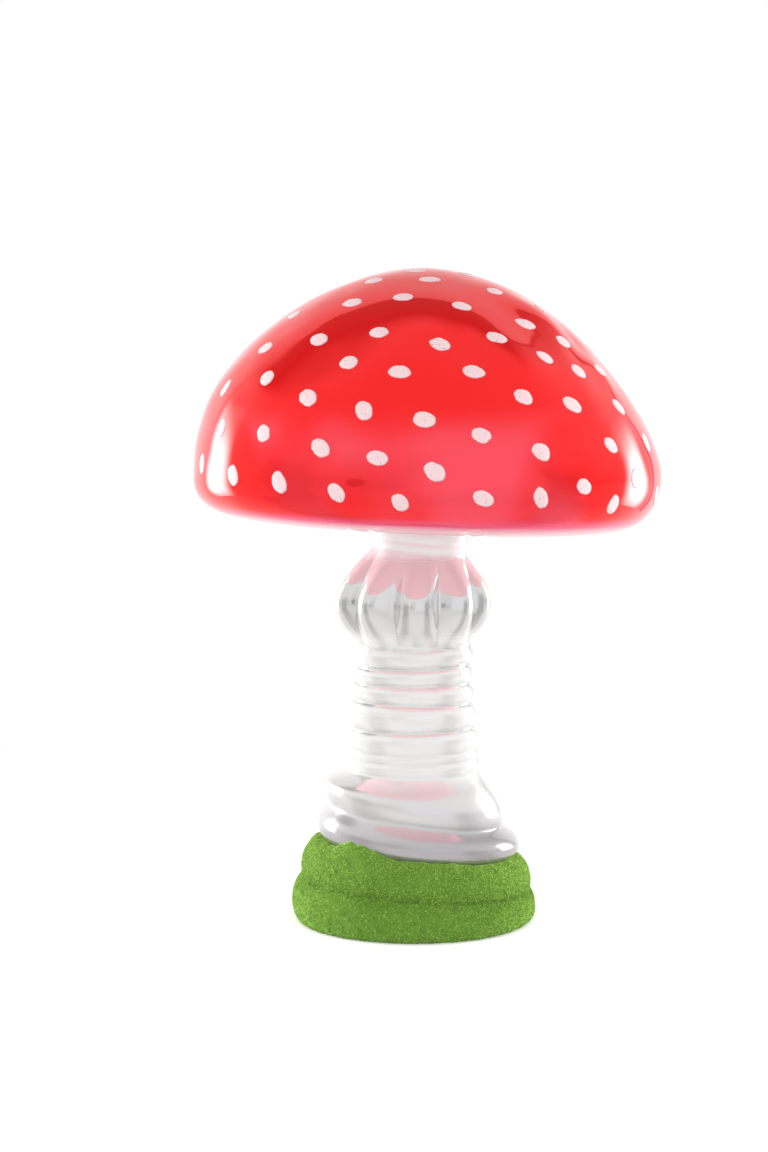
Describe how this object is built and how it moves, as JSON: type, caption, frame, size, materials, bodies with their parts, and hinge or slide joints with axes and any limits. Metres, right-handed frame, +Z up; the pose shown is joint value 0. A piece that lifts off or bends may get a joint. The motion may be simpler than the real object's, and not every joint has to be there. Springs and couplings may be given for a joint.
{
  "type": "glass mushroom ornament",
  "caption": "Standing mushroom ornament of silvered blown glass: red dome cap with white dots on a ringed silver stem with a lobed knop and a moss-coated foot.",
  "frame": {"origin": "on the resting plane, under the middle of the cap's rim", "axes": "+Z up along the stem, -Y towards the viewer of the picture, +X to the viewer's right"},
  "size_m": [0.114, 0.1141, 0.1604],
  "materials": {
    "silvered_glass": "polished",
    "red_silvered_glass": "polished",
    "white_dot_paint": "matte",
    "moss_flock": "matte",
    "cement": "satin",
    "cork": "matte"
  },
  "bodies": {
    "root": {"stem_glass": "silvered_glass", "cap_glass": "red_silvered_glass", "neck_cement": "cement", "moss_coat": "moss_flock", "blow_hole_plug": "cork", "cap_dot_01": "white_dot_paint", "cap_dot_02": "white_dot_paint", "cap_dot_03": "white_dot_paint", "cap_dot_04": "white_dot_paint", "cap_dot_05": "white_dot_paint", "cap_dot_06": "white_dot_paint", "cap_dot_07": "white_dot_paint", "cap_dot_08": "white_dot_paint", "cap_dot_09": "white_dot_paint", "cap_dot_10": "white_dot_paint", "cap_dot_11": "white_dot_paint", "cap_dot_12": "white_dot_paint", "cap_dot_13": "white_dot_paint", "cap_dot_14": "white_dot_paint", "cap_dot_15": "white_dot_paint", "cap_dot_16": "white_dot_paint", "cap_dot_17": "white_dot_paint", "cap_dot_18": "white_dot_paint", "cap_dot_19": "white_dot_paint", "cap_dot_20": "white_dot_paint", "cap_dot_21": "white_dot_paint", "cap_dot_22": "white_dot_paint", "cap_dot_23": "white_dot_paint", "cap_dot_24": "white_dot_paint", "cap_dot_25": "white_dot_paint", "cap_dot_26": "white_dot_paint", "cap_dot_27": "white_dot_paint", "cap_dot_28": "white_dot_paint", "cap_dot_29": "white_dot_paint", "cap_dot_30": "white_dot_paint", "cap_dot_31": "white_dot_paint", "cap_dot_32": "white_dot_paint", "cap_dot_33": "white_dot_paint", "cap_dot_34": "white_dot_paint", "cap_dot_35": "white_dot_paint", "cap_dot_36": "white_dot_paint", "cap_dot_37": "white_dot_paint", "cap_dot_38": "white_dot_paint", "cap_dot_39": "white_dot_paint", "cap_dot_40": "white_dot_paint", "cap_dot_41": "white_dot_paint", "cap_dot_42": "white_dot_paint", "cap_dot_43": "white_dot_paint", "cap_dot_44": "white_dot_paint", "cap_dot_45": "white_dot_paint", "cap_dot_46": "white_dot_paint", "cap_dot_47": "white_dot_paint", "cap_dot_48": "white_dot_paint", "cap_dot_49": "white_dot_paint", "cap_dot_50": "white_dot_paint", "cap_dot_51": "white_dot_paint"}
  },
  "joints": []
}
